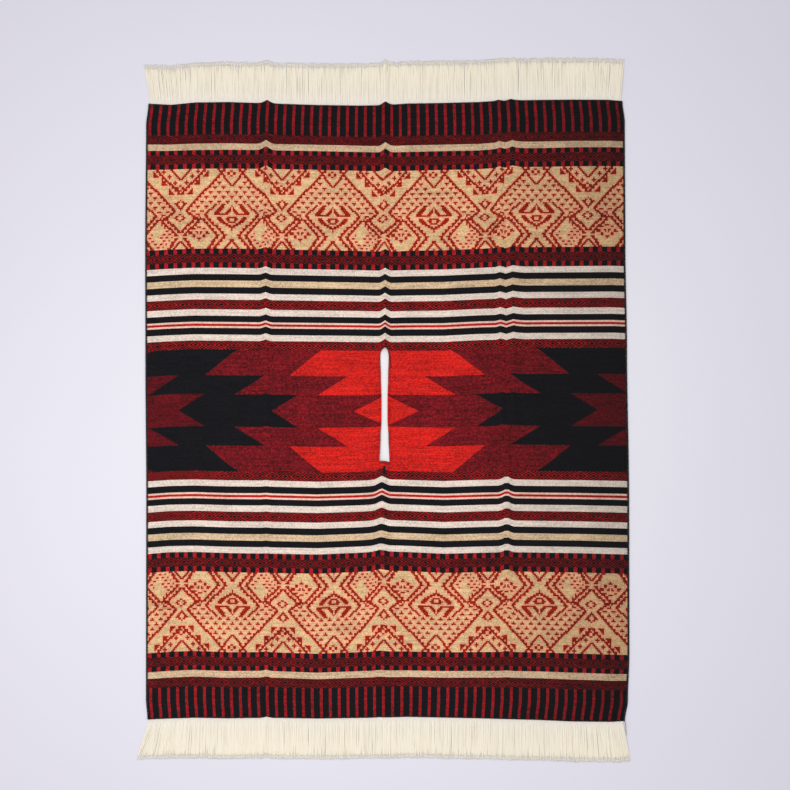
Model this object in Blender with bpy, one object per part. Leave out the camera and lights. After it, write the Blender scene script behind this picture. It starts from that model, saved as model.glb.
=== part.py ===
"""Fringed poncho, opened out flat: a woven web with a neck slit, its hems and its two yarn fringes.

+X runs across the cloth, +Y along it towards its back end, and +Z up from the surface that it lies on.
The origin is on that surface, under the middle of the poncho's footprint. Lengths are in metres.
"""

from collections import namedtuple

import bmesh
import bpy
from mathutils import Vector

# The cloth, before it is laid out: its sides are then pulled in or out a little, and its rows bowed.
HALF_WIDTH = 0.634
HALF_LENGTH = 0.828
CLOTH_THICK = 0.002
SEAM_GAP = 0.0003
SAME_POINT = 0.00001

# Where each side edge lies, at places along the cloth from the front end to the back end.
Side = namedtuple("Side", "along left right")
SIDES = (
    Side(-0.828, 0.624, 0.633),
    Side(-0.770, 0.628, 0.641),
    Side(-0.640, 0.628, 0.645),
    Side(-0.240, 0.628, 0.645),
    Side(0.160, 0.631, 0.640),
    Side(0.430, 0.632, 0.636),
    Side(0.764, 0.630, 0.635),
    Side(0.828, 0.624, 0.629),
)

# How far the rows of the weave are drawn towards the back, at places across, at the two ends.
Bow = namedtuple("Bow", "across back front")
BOWS = (
    Bow(-0.634, -0.004, -0.002),
    Bow(-0.480, 0.001, 0.001),
    Bow(-0.340, -0.001, 0.001),
    Bow(-0.060, -0.009, 0.001),
    Bow(0.170, -0.002, 0.003),
    Bow(0.330, 0.003, -0.001),
    Bow(0.634, 0.007, -0.008),
)

# The ridges left by the lengthwise folds: their heights at five places along, back end first. The right
# one is a shallow valley between two ridges.
Crease = namedtuple("Crease", "across half_width back upper middle lower front")
LEFT_CREASE = Crease(-0.317, 0.016, 0.004, 0.013, 0.006, 0.002, 0.000)
MIDDLE_CREASE = Crease(0.000, 0.022, 0.006, 0.018, 0.013, 0.012, 0.002)
RIGHT_CREASES = (
    Crease(0.305, 0.015, 0.003, 0.010, 0.005, 0.012, 0.002),
    Crease(0.340, 0.015, 0.005, 0.014, 0.005, 0.003, 0.000),
)
CREASES = (LEFT_CREASE, MIDDLE_CREASE, *RIGHT_CREASES)
Place = namedtuple("Place", "along height")
CREASE_PLACES = (HALF_LENGTH, 0.42, 0.0, -0.42, -HALF_LENGTH)
CREST_POWER = 1.4  # 1 would be a tent, and more makes the flanks hollow
ROW_KINK = 0.75  # how far a crease draws the rows towards the back, as a share of its height

# The neck slit, from its square front end to its rounded back end.
Slit = namedtuple("Slit", "along half_width")
SLITS = (
    Slit(-0.144, 0.0138),
    Slit(-0.074, 0.0110),
    Slit(-0.028, 0.0086),
    Slit(0.020, 0.0086),
    Slit(0.090, 0.0102),
    Slit(0.143, 0.0115),
    Slit(0.1535, 0.0090),
    Slit(0.1570, 0.0040),
)

SLIT_ARCH_START = 0.1535  # where the slit turns sharply in to its rounded end

# The pieces sewn to the cloth
NECK_HEM_WIDTH = 0.006
END_HEM_WIDTH = 0.004
HEM_THICK = 0.001
OVERLOCK_WIDTH = 0.004
OVERLOCK_THICK = 0.003

# The fringes: how far each reaches at its left, middle and right, and how far its corner yarns splay.
Fringe = namedtuple("Fringe", "name end left middle right splay_left splay_right")
FRINGES = (
    Fringe("back", 1, 0.104, 0.112, 0.110, 0.016, 0.012),
    Fringe("front", -1, 0.108, 0.110, 0.109, 0.0335, 0.021),
)
FRINGE_THICK = 0.0025
FRINGE_ROWS = (0.0, 0.3, 0.65, 1.0)
FRINGE_INSET = 0.002  # how far its first and last yarns are from the cloth's corners
SPLAY_POWER = 8  # only the yarns near a corner splay

# Lines of the cloth's own grid, apart from those that the creases, the slit and the hems bring.
PLAIN_ACROSS = (-HALF_WIDTH, -0.56, -0.48, -0.40, -0.20, -0.10, 0.10, 0.20, 0.43, 0.53, HALF_WIDTH)
PLAIN_ALONG = (-0.77, -0.64, -0.42, -0.24, 0.26, 0.43, 0.60, 0.764)
CREASE_LINES = (-1.0, -0.4, 0.0, 0.4, 1.0)  # in half widths from the crest

BLACK = (0.012, 0.012, 0.015)
MAROON = (0.10, 0.012, 0.018)
CREAM = (0.72, 0.63, 0.50)


def between(table, key, column):
    """The named column of a table at key, with soft steps from row to row."""
    keys = [row[0] for row in table]
    values = [getattr(row, column) for row in table]
    if key <= keys[0]:
        return values[0]
    for i in range(1, len(table)):
        if key <= keys[i]:
            share = (key - keys[i - 1]) / (keys[i] - keys[i - 1])
            share = share * share * (3 - 2 * share)
            return values[i - 1] + (values[i] - values[i - 1]) * share
    return values[-1]


def crease_height(crease, x, y):
    """How high one crease lifts the cloth."""
    away = abs(x - crease.across) / crease.half_width
    if away >= 1:
        return 0.0
    table = [Place(*pair) for pair in sorted(zip(CREASE_PLACES, crease[2:]))]
    return between(table, y, "height") * (1 - away) ** CREST_POWER


def lift(x, y):
    return sum(crease_height(crease, x, y) for crease in CREASES)


def lie(x, y):
    """Where a point of the flat cut lies on the surface, as the cloth is laid out."""
    side = between(SIDES, y, "left" if x < 0 else "right")
    backward = (y + HALF_LENGTH) / (2 * HALF_LENGTH)
    bow = between(BOWS, x, "back") * backward + between(BOWS, x, "front") * (1 - backward)
    height = lift(x, y)
    return Vector((x * side / HALF_WIDTH, y + bow + ROW_KINK * height, height))


def slit_half_width(y):
    return between(SLITS, y, "half_width")


def lines_across(y):
    """Where the grid's lengthwise lines cross the row at y, from left to right."""
    slit = slit_half_width(y)
    hem = slit + NECK_HEM_WIDTH
    lines = [*PLAIN_ACROSS, -hem, -slit, 0.0, slit, hem]
    lines += [MIDDLE_CREASE.half_width, -MIDDLE_CREASE.half_width]
    for crease in (LEFT_CREASE, *RIGHT_CREASES):
        lines += [crease.across + crease.half_width * share for share in CREASE_LINES]
    return sorted(lines)


def lines_along():
    """The grid's rows, from the front end to the back end."""
    ends = [HALF_LENGTH, HALF_LENGTH - END_HEM_WIDTH]
    slits = [row.along for row in SLITS]
    neck_end = slits[-1] + NECK_HEM_WIDTH
    return sorted([*ends, *(-y for y in ends), *slits, neck_end, *PLAIN_ALONG])


ROWS = lines_along()
GRID = [[lie(x, y) for x in lines_across(y)] for y in ROWS]
COLUMNS = len(GRID[0])
MIDDLE = sorted(lines_across(0)).index(0.0)
LAST_ROW = len(ROWS) - 1
SLIT_FRONT = ROWS.index(SLITS[0].along)
SLIT_ARCH = ROWS.index(SLIT_ARCH_START)
SLIT_BACK = ROWS.index(SLITS[-1].along)


def cell(i, j):
    """The corners of the grid's cell between rows i and i + 1 and columns j and j + 1."""
    return [GRID[i][j], GRID[i][j + 1], GRID[i + 1][j + 1], GRID[i + 1][j]]


def raised(quads, height):
    """The same quads, moved up."""
    return [[point + Vector((0, 0, height)) for point in quad] for quad in quads]


def material(name, colour, roughness):
    made = bpy.data.materials.new(name)
    made.use_nodes = True
    shader = made.node_tree.nodes["Principled BSDF"]
    shader.inputs["Base Color"].default_value = (*colour, 1)
    shader.inputs["Roughness"].default_value = roughness
    shader.inputs["Metallic"].default_value = 0
    return made


def panel(name, quads, thick, colour):
    """One closed solid: the quads are its underside, and its top is the same quads at its thickness."""
    shape = bmesh.new()
    for quad in quads:
        shape.faces.new([shape.verts.new(point) for point in quad])
    bmesh.ops.remove_doubles(shape, verts=shape.verts, dist=SAME_POINT)
    grown = bmesh.ops.extrude_face_region(shape, geom=shape.faces[:])
    top = [item for item in grown["geom"] if isinstance(item, bmesh.types.BMVert)]
    bmesh.ops.translate(shape, verts=top, vec=(0, 0, thick))
    bmesh.ops.recalc_face_normals(shape, faces=shape.faces)
    mesh = bpy.data.meshes.new(name)
    shape.to_mesh(mesh)
    shape.free()
    mesh.materials.append(material(name, colour, 0.9))
    made = bpy.data.objects.new(name, mesh)
    bpy.context.scene.collection.objects.link(made)
    return made


def web(name, first_row, last_row, first_column, last_column):
    """One region of the woven web, kept half a gap off its neighbours before and behind it."""
    quads = []
    for i in range(first_row, last_row):
        for j in range(first_column, last_column):
            in_slit = SLIT_FRONT <= i < SLIT_BACK and j in (MIDDLE - 1, MIDDLE)
            if in_slit:
                continue
            front_left, front_right, back_right, back_left = (point.copy() for point in cell(i, j))
            if i == first_row > 0:
                front_left.y += SEAM_GAP / 2
                front_right.y += SEAM_GAP / 2
            if i == last_row - 1 < LAST_ROW - 1:
                back_left.y -= SEAM_GAP / 2
                back_right.y -= SEAM_GAP / 2
            quads.append([front_left, front_right, back_right, back_left])
    panel(name, quads, CLOTH_THICK, MAROON)


def woven_web():
    """The web is one length of cloth. Its four regions are solids of their own, so that none bends
    around the neck slit."""
    web("web_front", 0, SLIT_FRONT, 0, COLUMNS - 1)
    web("web_left_shoulder", SLIT_FRONT, SLIT_ARCH, 0, MIDDLE - 1)
    web("web_right_shoulder", SLIT_FRONT, SLIT_ARCH, MIDDLE + 1, COLUMNS - 1)
    web("web_back", SLIT_ARCH, LAST_ROW, 0, COLUMNS - 1)


def neck_hem(name, side):
    """The narrow hem beside the slit, up one side and over its rounded end as far as the middle."""
    beside = MIDDLE + 1 if side > 0 else MIDDLE - 2
    over = MIDDLE if side > 0 else MIDDLE - 1
    quads = [cell(i, beside) for i in range(SLIT_FRONT, SLIT_BACK + 1)]
    quads.append(cell(SLIT_BACK, over))
    apart = side * SEAM_GAP / 2
    quads = [[Vector((p.x or apart, p.y, p.z)) for p in quad] for quad in quads]
    panel(name, raised(quads, CLOTH_THICK + SEAM_GAP), HEM_THICK, BLACK)


def side_overlock(name, side):
    """The overlocked edge, as a strip beside the cloth's side."""
    column = COLUMNS - 1 if side > 0 else 0
    inner = [row[column] + Vector((side * SEAM_GAP, 0, 0)) for row in GRID]
    outer = [point + Vector((side * OVERLOCK_WIDTH, 0, 0)) for point in inner]
    quads = [[inner[i], outer[i], outer[i + 1], inner[i + 1]] for i in range(LAST_ROW)]
    panel(name, quads, OVERLOCK_THICK, BLACK)


def end_hem(name, end):
    """The narrow hem along one end of the cloth, on its upper face."""
    row = LAST_ROW - 1 if end > 0 else 0
    quads = [cell(row, j) for j in range(COLUMNS - 1)]
    panel(name, raised(quads, CLOTH_THICK + SEAM_GAP), HEM_THICK, BLACK)


def fringe_point(fringe, root, down):
    """A point of the fringe, a share of its reach down from its root on the cloth's end."""
    across = root.x / HALF_WIDTH
    outer = fringe.left if across < 0 else fringe.right
    reach = fringe.middle + (outer - fringe.middle) * abs(across)
    splay = -fringe.splay_left if across < 0 else fringe.splay_right
    x = root.x + splay * min(1, abs(across)) ** SPLAY_POWER * down
    y = root.y + fringe.end * (SEAM_GAP + reach * down)
    return Vector((x, y, root.z * (1 - down) ** CREST_POWER))


def fringe_slab(fringe):
    """The reach of one fringe, from the cloth's end to the tips of its yarns."""
    roots = [point.copy() for point in (GRID[-1] if fringe.end > 0 else GRID[0])]
    roots[0].x += FRINGE_INSET
    roots[-1].x -= FRINGE_INSET
    rows = [[fringe_point(fringe, root, down) for root in roots] for down in FRINGE_ROWS]
    quads = [
        [rows[i][j], rows[i][j + 1], rows[i + 1][j + 1], rows[i + 1][j]]
        for i in range(len(rows) - 1)
        for j in range(COLUMNS - 1)
    ]
    panel("fringe_" + fringe.name, quads, FRINGE_THICK, CREAM)


def clear_scene():
    for old in list(bpy.data.objects):
        bpy.data.objects.remove(old, do_unlink=True)


def main():
    clear_scene()
    woven_web()
    for side, name in ((-1, "left"), (1, "right")):
        neck_hem("neck_hem_" + name, side)
        side_overlock("side_overlock_" + name, side)
    for fringe in FRINGES:
        end_hem("end_hem_" + fringe.name, fringe.end)
        fringe_slab(fringe)


main()
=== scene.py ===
"""Fringed poncho, opened out flat: its woven cloth, the hems and stitches, and the two yarn fringes.

+X runs across the cloth, +Y along it towards its back end, and +Z up. Lengths are in metres.
"""

import math
from collections import namedtuple

import bpy
import numpy as np
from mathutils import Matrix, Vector


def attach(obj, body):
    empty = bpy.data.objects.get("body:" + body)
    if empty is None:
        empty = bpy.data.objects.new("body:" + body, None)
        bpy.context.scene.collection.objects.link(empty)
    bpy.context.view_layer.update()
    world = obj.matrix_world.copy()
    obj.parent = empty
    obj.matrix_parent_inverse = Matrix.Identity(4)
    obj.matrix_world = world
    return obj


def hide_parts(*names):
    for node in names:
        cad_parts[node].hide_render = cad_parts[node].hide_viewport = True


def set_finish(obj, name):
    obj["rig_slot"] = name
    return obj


bl_info = {
    "name": "Fringed Poncho",
    "version": (1, 0, 0),
    "blender": (4, 5, 0),
    "location": "View3D > Sidebar > Poncho",
    "description": "Builds a woven poncho laid out flat, with its hems, stitches and yarn fringes",
    "category": "Add Mesh",
}

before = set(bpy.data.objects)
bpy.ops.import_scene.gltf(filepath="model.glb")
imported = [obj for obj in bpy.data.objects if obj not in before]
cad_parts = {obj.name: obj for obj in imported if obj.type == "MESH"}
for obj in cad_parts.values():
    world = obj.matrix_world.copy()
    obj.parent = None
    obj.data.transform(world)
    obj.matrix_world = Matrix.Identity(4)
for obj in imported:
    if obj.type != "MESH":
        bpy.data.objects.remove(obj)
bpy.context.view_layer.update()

# ------------
# The cloth's cut, and how it lies. The frame's solids have the same cut, and nearly the same folds.

HALF_WIDTH = 0.634
HALF_LENGTH = 0.828

# Where each side edge lies, at places along the cloth from the front end to the back end.
Side = namedtuple("Side", "along left right")
SIDES = (
    Side(-HALF_LENGTH, 0.624, 0.633),
    Side(-0.770, 0.628, 0.641),
    Side(-0.640, 0.628, 0.645),
    Side(-0.240, 0.628, 0.645),
    Side(0.160, 0.631, 0.640),
    Side(0.430, 0.632, 0.636),
    Side(0.764, 0.630, 0.635),
    Side(HALF_LENGTH, 0.624, 0.629),
)

# How many millimetres the rows of the weave are drawn towards the back, at places across and along.
BOW_PLACES = (-HALF_LENGTH, -0.70, -0.43, -0.20, 0.18, 0.40, 0.69, HALF_LENGTH)
Bow = namedtuple("Bow", "across drawn")
BOWS = (
    Bow(-0.634, (0, -3.5, -3.5, -3.5, -2.5, -2, 2, -6)),
    Bow(-0.577, (2.5, 0.5, 1, 0.5, 1, 1.5, 2, -9)),
    Bow(-0.510, (4.5, 3.5, 2, 2, 3.5, 4.5, 4, -2.5)),
    Bow(-0.420, (3, 0, -1, -0.5, 2.5, 4.5, 5, -1.5)),
    Bow(-0.317, (4.5, 1, -3, -1, 1.5, 3, 4, -5)),
    Bow(-0.180, (2.5, -4.5, -5, -4.5, 0.5, 0, 1.5, -9.5)),
    Bow(-0.068, (4, 0, 0, -1.5, -0.5, -2, -1, -11)),
    Bow(0.000, (5, 1.5, 4, 2.5, -1.5, -4, -2.5, -10)),
    Bow(0.060, (7, 2, 2, 0.5, -0.5, -2, -1, -5.5)),
    Bow(0.155, (5, 0, -3, -2.5, -0.5, 0, 1, -4)),
    Bow(0.251, (3, 0.5, -0.5, 0.5, 4.5, 4, 3, -1.5)),
    Bow(0.320, (1, 0.5, 1, 2, 6, 7.5, 9, 3)),
    Bow(0.410, (-1.5, -1, 0, 0.5, 7.5, 8.5, 9.5, 4)),
    Bow(0.500, (-5.5, -4.5, -1.5, -0.5, 7.5, 9, 11.5, 5)),
    Bow(0.600, (-6.5, -8, -4.5, -2, 8, 10, 12, 4.5)),
    Bow(0.634, (-4.5, -8, -5.5, -3, 6.5, 9, 11, 1.5)),
)

# The ridges left by the lengthwise folds, with their heights at places along, in millimetres. A groove's
# are below 0.
CREASE_PLACES = (-HALF_LENGTH, -0.42, -0.20, 0.00, 0.25, 0.50, 0.69, HALF_LENGTH)
Crease = namedtuple("Crease", "across half_width heights")
CREASES = (
    Crease(-0.317, 0.016, (3, 1, 1.2, 2.8, 5.1, 5, 5.5, 4.5)),
    Crease(-0.317, 0.026, (0, 0, 0, 0, 0, 1.2, 5.1, 4.5)),
    Crease(0.0015, 0.015, (0, 0, 0, 6, 9.4, 5.8, 6, 5)),
    Crease(0.0040, 0.022, (0, 0, 0, 0, 0, 1, 4.6, 5)),
    Crease(-0.0065, 0.021, (0, 0, 7.6, 2, 0, 0, 0, 0)),
    Crease(-0.0130, 0.027, (1.2, 4.2, 2.4, 0, 0, 0, 0, 0)),
    Crease(0.305, 0.013, (0, 0, 0, 3, 3, 3.2, 3.4, 2.5)),
    Crease(0.3205, 0.006, (0, 0, 0, -1, -2.4, -2.6, -1.6, -1)),
    Crease(0.3135, 0.017, (0, 3.8, 5.2, 1.5, 0, 0, 0, 0)),
    Crease(0.3235, 0.016, (0, 3.8, 5.2, 1.5, 0, 0, 0, 0)),
    Crease(0.339, 0.014, (0, 0, 0, 2.6, 3.6, 3.2, 4.4, 3.4)),
    Crease(0.352, 0.020, (0, 0, 0, 0.6, 1.6, 2, 1.4, 0.8)),
)
CREST_POWER = 1.4
CREST_ROUND = 0.06  # how blunt a crest is, in its half widths
ROW_KINK = 0.85  # how far a crease draws the rows towards the back, as a share of its height
KINK_REST = -0.120  # the place along where the bar tack holds the rows flat
KINK_REACH = 0.045
KINK_START = 0.3  # how far from that place the rows start to kink, as a share of the reach

# Small soft swells of the cloth between the folds: where, how far they reach, and how high they stand.
Swell = namedtuple("Swell", "across along reach_across reach_along height")
SWELLS = (
    Swell(-0.520, 0.640, 0.090, 0.160, 0.0014),
    Swell(-0.180, 0.560, 0.110, 0.120, 0.0018),
    Swell(0.150, 0.640, 0.080, 0.090, 0.0022),
    Swell(0.520, 0.500, 0.100, 0.200, 0.0016),
    Swell(-0.430, 0.180, 0.150, 0.110, 0.0013),
    Swell(0.210, 0.250, 0.100, 0.150, 0.0018),
    Swell(-0.200, -0.250, 0.140, 0.090, 0.0014),
    Swell(0.480, -0.180, 0.120, 0.170, 0.0019),
    Swell(-0.500, -0.480, 0.110, 0.130, 0.0013),
    Swell(0.130, -0.520, 0.130, 0.140, 0.0017),
    Swell(0.540, -0.660, 0.080, 0.110, 0.0020),
    Swell(-0.160, -0.720, 0.150, 0.080, 0.0012),
)

# The neck slit, from its square front end to its rounded back end.
Slit = namedtuple("Slit", "along half_width")
SLITS = (
    Slit(-0.144, 0.0138),
    Slit(-0.074, 0.0110),
    Slit(-0.028, 0.0086),
    Slit(0.020, 0.0086),
    Slit(0.090, 0.0102),
    Slit(0.140, 0.0117),
    Slit(0.1490, 0.0113),
    Slit(0.1550, 0.0100),
    Slit(0.1588, 0.0078),
    Slit(0.1606, 0.0052),
)
SLIT_FRONT = SLITS[0].along
SLIT_BACK = SLITS[-1].along
NECK_HEM_WIDTH = 0.006


def eased(keys, values, key):
    """The value at each key, with soft steps from one of the table's keys to the next."""
    keys, values, key = np.array(keys), np.array(values), np.asarray(key, float)
    row = np.clip(np.searchsorted(keys, key) - 1, 0, len(keys) - 2)
    share = np.clip((key - keys[row]) / (keys[row + 1] - keys[row]), 0, 1)
    share = share * share * (3 - 2 * share)
    return values[row] + (values[row + 1] - values[row]) * share


def lift(x, y):
    """The sum of the creases: how high they lift the cloth, or below 0 how far a groove draws its rows."""
    height = 0.0
    for crease in CREASES:
        away = np.abs(x - crease.across) / crease.half_width
        away = np.sqrt(away**2 + CREST_ROUND**2) - CREST_ROUND
        crest = eased(CREASE_PLACES, crease.heights, y) / 1000
        height = height + crest * np.clip(1 - away, 0, 1) ** CREST_POWER
    return height


def swell(x, y):
    """How high the soft swells raise the cloth: each a low mound that fades out at its reach."""
    height = 0.0
    for mound in SWELLS:
        across = (x - mound.across) / mound.reach_across
        along = (y - mound.along) / mound.reach_along
        height = height + mound.height * np.clip(1 - across**2 - along**2, 0, 1) ** 2
    return height


def bow(x, y):
    """How far the row through a place is drawn towards the back there."""
    across, drawn = zip(*BOWS)
    rows = zip(np.eye(len(BOW_PLACES)), np.transpose(drawn))
    return sum(np.interp(y, BOW_PLACES, near) * np.interp(x, across, row) for near, row in rows) / 1000


def lie(x, y):
    """Where points of the flat cut lie on the surface."""
    x, y = np.asarray(x, float), np.asarray(y, float)
    places, left, right = zip(*SIDES)
    side = np.where(x < 0, eased(places, left, y), eased(places, right, y))
    height = lift(x, y)
    kink = ROW_KINK * np.clip(np.abs(y - KINK_REST) / KINK_REACH - KINK_START, 0, 1)
    raised = np.maximum(height, 0) + swell(x, y)
    return np.stack([x * side / HALF_WIDTH, y + bow(x, y) + kink * height, raised], -1)


def slit_half_width(y):
    """Half the slit's width at places along it."""
    return eased(*zip(*SLITS), y)


# How far the warps have drifted from even spacing, at places across, towards each end of the cloth.
# The stepped middle band has none.
Drift = namedtuple("Drift", "across back front")
DRIFTS = (
    Drift(-0.634, -0.0075, -0.0100),
    Drift(-0.390, -0.0070, -0.0070),
    Drift(-0.264, -0.0030, -0.0055),
    Drift(-0.137, -0.0020, -0.0045),
    Drift(0.000, -0.0005, -0.0010),
    Drift(0.054, 0.0035, -0.0010),
    Drift(0.182, 0.0035, 0.0000),
    Drift(0.309, 0.0055, 0.0030),
    Drift(0.437, 0.0060, 0.0055),
    Drift(0.634, 0.0055, 0.0065),
)
DRIFT_STARTS = 0.150
DRIFT_WHOLE = 0.162


def loomed(flat):
    """The places on the pattern of points of the flat cut."""
    across, along = flat[..., 0], flat[..., 1]
    keys, back, front = np.array(DRIFTS).T
    drift = np.where(along > 0, np.interp(across, keys, back), np.interp(across, keys, front))
    amount = np.clip((np.abs(along) - DRIFT_STARTS) / (DRIFT_WHOLE - DRIFT_STARTS), 0, 1)
    return np.stack([across + drift * amount, along], -1)


# ------------
# What a user would change

def colour(name, red, green, blue):
    """A colour setting, from the values that a screen shows."""
    linear = [(value / 255) ** 2.2 for value in (red, green, blue)]
    return bpy.props.FloatVectorProperty(
        name=name, description="Colour: " + name.lower(), subtype="COLOR", min=0, max=1, default=linear
    )


def length(name, description, default):
    return bpy.props.FloatProperty(
        name=name, description=description, default=default, min=0, precision=5, unit="LENGTH"
    )


def share(name, description, default):
    return bpy.props.FloatProperty(
        name=name, description=description, default=default, min=0, max=1, subtype="FACTOR"
    )


def whole(name, description, default):
    return bpy.props.IntProperty(name=name, description=description, default=default, min=1)


class ClothSettings(bpy.types.PropertyGroup):
    """The woven cloth"""

    thick: length("Thickness", "Thickness of the cloth", 0.0018)
    coarse: length("Coarse step", "Spacing of the mesh where the cloth lies flat", 0.0092)
    fine: length("Fine step", "Spacing of the mesh at a fold", 0.0024)
    end_pitch: length("Warp pitch", "Distance between two warp threads", 0.0019)
    pick_pitch: length("Weft pitch", "Distance between two weft threads", 0.0015)
    mottle: share("Mottle", "How much the yarns differ in tone", 0.10)
    black: colour("Black", 20, 20, 25)
    maroon: colour("Maroon", 113, 20, 28)
    dark_maroon: colour("Dark maroon", 95, 16, 25)
    red: colour("Bright red", 212, 35, 29)
    dark_red: colour("Dark red", 149, 25, 31)
    figure: colour("Figure red", 156, 35, 9)
    rose: colour("Rose", 243, 165, 127)
    tan: colour("Tan", 227, 188, 138)
    gold: colour("Gold", 222, 191, 154)
    cream: colour("Cream", 220, 187, 151)
    white: colour("White", 237, 219, 205)


class TrimSettings(bpy.types.PropertyGroup):
    """Hems, overlock and stitches"""

    thread: length("Thread", "Diameter of the sewing threads", 0.0009)
    overlock_pitch: length("Overlock pitch", "Distance between two overlock loops", 0.0018)
    overcast_pitch: length("Overcast pitch", "Distance between two stitches over the cloth's ends", 0.0016)
    stitch: length("Stitch", "Length of a stitch along the neck hem", 0.0032)
    stitch_gap: length("Stitch gap", "Gap between two stitches along the neck hem", 0.0014)
    black: colour("Black", 30, 28, 31)
    red: colour("Red", 176, 32, 34)


class FringeSettings(bpy.types.PropertyGroup):
    """The yarn fringes"""

    count: whole("Yarns", "Yarns in each of a fringe's two layers", 400)
    yarn: length("Yarn", "Diameter of a yarn", 0.0034)
    lean: length("Lean", "How far a yarn's tip wanders sideways", 0.0016)
    ragged: share("Ragged", "How much shorter the shortest yarn is", 0.075)
    seed: whole("Seed", "Number that the yarns' lie is drawn from", 7)
    cream: colour("Cream", 255, 246, 226)


class StageSettings(bpy.types.PropertyGroup):
    """Floor, light and camera"""

    floor: colour("Floor", 232, 229, 243)
    key: bpy.props.FloatProperty(
        name="Key light", description="Power of the large soft light", default=20, min=0, unit="POWER"
    )
    fill: bpy.props.FloatProperty(
        name="Fill light", description="Strength of the light from all round", default=0.65, min=0
    )
    elevation: bpy.props.FloatProperty(
        name="Elevation",
        description="Angle of the camera above the floor",
        default=math.radians(82),
        subtype="ANGLE",
    )
    distance: length("Distance", "Distance of the camera from the cloth", 60.0)
    view: length("View", "Width of floor that the camera takes in", 2.0975)


SETTINGS = {
    "poncho_cloth": ClothSettings,
    "poncho_trim": TrimSettings,
    "poncho_fringe": FringeSettings,
    "poncho_stage": StageSettings,
}

# ------------
# Meshes


class Shape:
    """Points and faces of one mesh, with each face corner's place on the piece's maps."""

    def __init__(self, points, faces, **maps):
        self.points = points
        self.faces = faces
        self.maps = maps

    def joined(self, *others):
        """This shape and others as one. They have the same maps."""
        points, faces = list(self.points), list(self.faces)
        maps = {name: [places] for name, places in self.maps.items()}
        for other in others:
            start = len(points)
            points.extend(other.points)
            faces.extend([start + corner for corner in face] for face in other.faces)
            for name, places in other.maps.items():
                maps[name].append(places)
        return Shape(points, faces, **{name: np.concatenate(rows) for name, rows in maps.items()})


def piece(name, shape, slot, *materials):
    """A new smooth-shaded piece of the object that rides with the frame."""
    mesh = bpy.data.meshes.new(name)
    mesh.from_pydata(shape.points, [], shape.faces)
    for map_name, places in shape.maps.items():
        layer = mesh.uv_layers.new(name=map_name)
        layer.uv.foreach_set("vector", np.asarray(places, np.float32).ravel())
    for finish in materials:
        mesh.materials.append(finish)
    mesh.shade_smooth()
    made = bpy.data.objects.new(name, mesh)
    bpy.context.scene.collection.objects.link(made)
    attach(made, "root")
    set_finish(made, slot)
    return made


def unit(vectors):
    return vectors / np.linalg.norm(vectors, axis=-1, keepdims=True)


CHART_MARGIN = 0.06  # room round each tube on its bake map, as a share of its cell


def tubes(paths, radii, sides, beside=(0, 0, 1), chart=(0, 1), chart_rows=1):
    """A round closed tube along each path (an array of tubes by steps by 3).

    beside is a direction that no path follows. The Thread map gives the tube's number plus the share of a
    turn round it, and the place along it in metres. The OFBake map gives each tube a cell of its own, in
    rows of cells, between the two places across that chart names."""
    paths = np.asarray(paths, float)
    count, steps = paths.shape[:2]
    radii = np.broadcast_to(radii, (count, steps))[..., None, None]
    ahead = unit(np.gradient(paths, axis=1))
    first = unit(np.cross(ahead, beside))
    second = np.cross(ahead, first)
    turn = np.arange(sides)[:, None] * math.tau / sides
    spokes = np.cos(turn) * first[:, :, None] + np.sin(turn) * second[:, :, None]
    rings = paths[:, :, None] + radii * spokes
    index = np.arange(count * steps * sides).reshape(count, steps, sides)
    after = np.roll(index, -1, axis=2)
    walls = np.stack([index[:, :-1], after[:, :-1], after[:, 1:], index[:, 1:]], -1)
    caps = np.concatenate([index[:, 0, ::-1], index[:, -1]])
    faces = [*walls.reshape(-1, 4).tolist(), *caps.tolist()]

    number = np.arange(count)
    stride = np.linalg.norm(np.diff(paths, axis=1), axis=2)
    reached = np.concatenate([np.zeros((count, 1)), np.cumsum(stride, axis=1)], axis=1)
    left = np.arange(sides) / sides
    right = left + 1 / sides
    nth = number[:, None, None]
    thread = corners(left + nth, right + nth, reached[:, :-1, None], reached[:, 1:, None])
    ends = np.stack([np.tile(number, 2), reached[:, [0, -1]].T.ravel()], -1).repeat(sides, axis=0)

    per_row = math.ceil(count / chart_rows)
    size = np.array([(chart[1] - chart[0]) / per_row, 1 / chart_rows])
    corner = np.stack([number % per_row, number // per_row], -1) * size + (chart[0], 0)
    low = np.arange(steps - 1)[:, None] / (steps - 1)
    high = low + 1 / (steps - 1)
    edges = [CHART_MARGIN + (1 - 2 * CHART_MARGIN) * edge for edge in (left, right, low, high)]
    x, y = corner.T[..., None, None]
    cells = corners(*(x + size[0] * edge for edge in edges[:2]), *(y + size[1] * edge for edge in edges[2:]))
    around = np.stack([0.5 + 0.4 * np.cos(turn[:, 0]), CHART_MARGIN * (0.5 + 0.4 * np.sin(turn[:, 0]))], -1)
    near_cap = corner[:, None] + around * size
    far_cap = near_cap + (0, size[1] * (1 - CHART_MARGIN))
    bake = np.concatenate([cells, near_cap.reshape(-1, 2), far_cap.reshape(-1, 2)])
    return Shape(rings.reshape(-1, 3), faces, Thread=np.concatenate([thread, ends]), OFBake=bake)


def corners(left, right, low, high):
    """The four corners of each cell that lies between left and right, and low and high."""
    left, right, low, high = np.broadcast_arrays(left, right, low, high)
    quads = [np.stack(pair, -1) for pair in ((left, low), (right, low), (right, high), (left, high))]
    return np.stack(quads, -2).reshape(-1, 2)


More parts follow.
